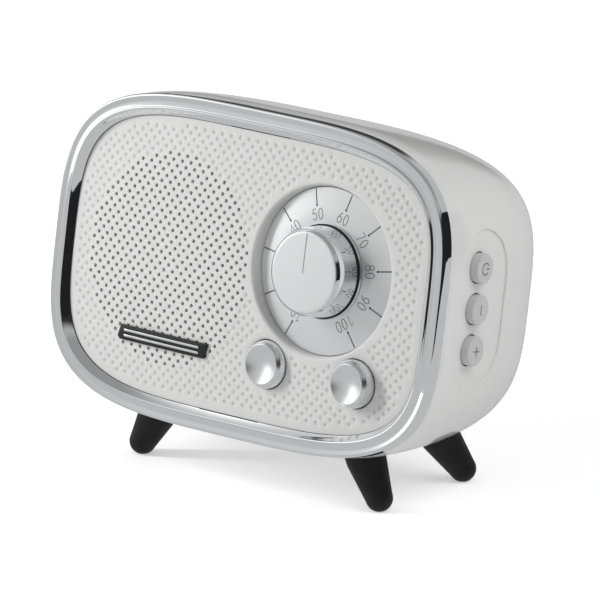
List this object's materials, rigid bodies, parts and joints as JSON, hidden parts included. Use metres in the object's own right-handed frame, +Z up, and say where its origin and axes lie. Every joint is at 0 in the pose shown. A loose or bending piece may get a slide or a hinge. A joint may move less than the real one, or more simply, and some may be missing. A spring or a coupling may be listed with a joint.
{
  "type": "tabletop radio-style speaker",
  "caption": "Rounded retro tabletop speaker with a chrome bezel, domed perforated front, numbered tuning dial, turning knobs, side push buttons and splayed feet.",
  "frame": {"origin": "on the table plane, below the middle of the overall box", "axes": "+Z up, front towards -Y, +X to the right of someone looking at the front, so the three push buttons are on the +X side; the body leans back 10 degrees about X"},
  "size_m": [0.1904, 0.099, 0.1448],
  "materials": {
    "white_shell": "glossy",
    "panel_white": "satin",
    "chrome": "polished",
    "satin_silver": "satin",
    "button_grey": "semi-gloss",
    "black_plastic": "satin",
    "black_rubber": "matte",
    "steel": "bare",
    "board_green": "solder mask",
    "black_cloth": "woven",
    "ferrite": "sintered",
    "black_paper": "pressed",
    "copper": "enamelled",
    "spider_cloth": "impregnated",
    "tin_brass": "tinned",
    "blue_wrap": "shrink film",
    "red_wire": "insulation",
    "ribbon_grey": "insulation"
  },
  "bodies": {
    "radio_body": {"housing": "white_shell", "rear_cover": "white_shell", "front_bezel": "chrome", "grille_panel": "panel_white", "speaker_cloth": "black_cloth", "badge_plate": "black_plastic", "badge_bars": "chrome", "dial_plate": "satin_silver", "tuning_pot": "steel", "left_pot": "steel", "right_pot": "steel", "control_board": "board_green", "control_board_screws": "steel", "speaker_basket": "steel", "speaker_gasket": "black_cloth", "speaker_magnet": "ferrite", "top_plate": "steel", "yoke": "steel", "surround": "black_rubber", "spider": "spider_cloth", "speaker_terminals": "tin_brass", "speaker_screws": "steel", "main_board": "board_green", "board_parts": "black_plastic", "aux_socket": "black_plastic", "charge_socket": "steel", "main_board_screws": "steel", "button_switches": "black_plastic", "button_board": "board_green", "button_board_screws": "steel", "battery_cell": "blue_wrap", "battery_holder": "black_plastic", "holder_screws": "steel", "front_left_foot": "black_rubber", "front_right_foot": "black_rubber", "rear_left_foot": "black_rubber", "rear_right_foot": "black_rubber", "foot_screws": "steel", "panel_screws": "steel", "cover_screws": "steel", "speaker_wires": "red_wire", "battery_wires": "red_wire", "ribbon_cables": "ribbon_grey"},
    "tuning_control": {"tuning_knob": "chrome", "knob_face": "satin_silver", "tuning_shaft": "steel"},
    "left_control": {"left_knob": "chrome", "left_shaft": "steel"},
    "right_control": {"right_knob": "chrome", "right_shaft": "steel"},
    "power_key": {"power_button": "button_grey", "power_plunger": "black_plastic"},
    "minus_key": {"minus_button": "button_grey", "minus_plunger": "black_plastic"},
    "plus_key": {"plus_button": "button_grey", "plus_plunger": "black_plastic"},
    "cone_assembly": {"speaker_cone": "black_paper", "dust_cap": "black_paper", "voice_coil": "copper"}
  },
  "joints": [
    {"name": "tuning_knob_turn", "type": "hinge", "parent": "radio_body", "child": "tuning_control", "pos_m": [0.0372, -0.03409, 0.09006], "axis": [0, -0.9848, 0.1736], "range_deg": [-146.1, 148.5]},
    {"name": "left_knob_turn", "type": "hinge", "parent": "radio_body", "child": "left_control", "pos_m": [0.0165, -0.03884, 0.0516], "axis": [0, -0.9848, 0.1736], "range_deg": [-150, 150]},
    {"name": "right_knob_turn", "type": "hinge", "parent": "radio_body", "child": "right_control", "pos_m": [0.0579, -0.03884, 0.0516], "axis": [0, -0.9848, 0.1736], "range_deg": [-150, 150]},
    {"name": "power_button_press", "type": "slide", "parent": "radio_body", "child": "power_key", "axis": [-0.9925, -0.12, 0.0212], "range_m": [0, 0.0008]},
    {"name": "minus_button_press", "type": "slide", "parent": "radio_body", "child": "minus_key", "axis": [-0.9925, -0.12, 0.0212], "range_m": [0, 0.0008]},
    {"name": "plus_button_press", "type": "slide", "parent": "radio_body", "child": "plus_key", "axis": [-0.9925, -0.12, 0.0212], "range_m": [0, 0.0008]},
    {"name": "speaker_cone_travel", "type": "slide", "parent": "radio_body", "child": "cone_assembly", "axis": [0, -0.9848, 0.1736], "range_m": [-0.001, 0.001], "deforming": ["surround", "spider"]}
  ]
}
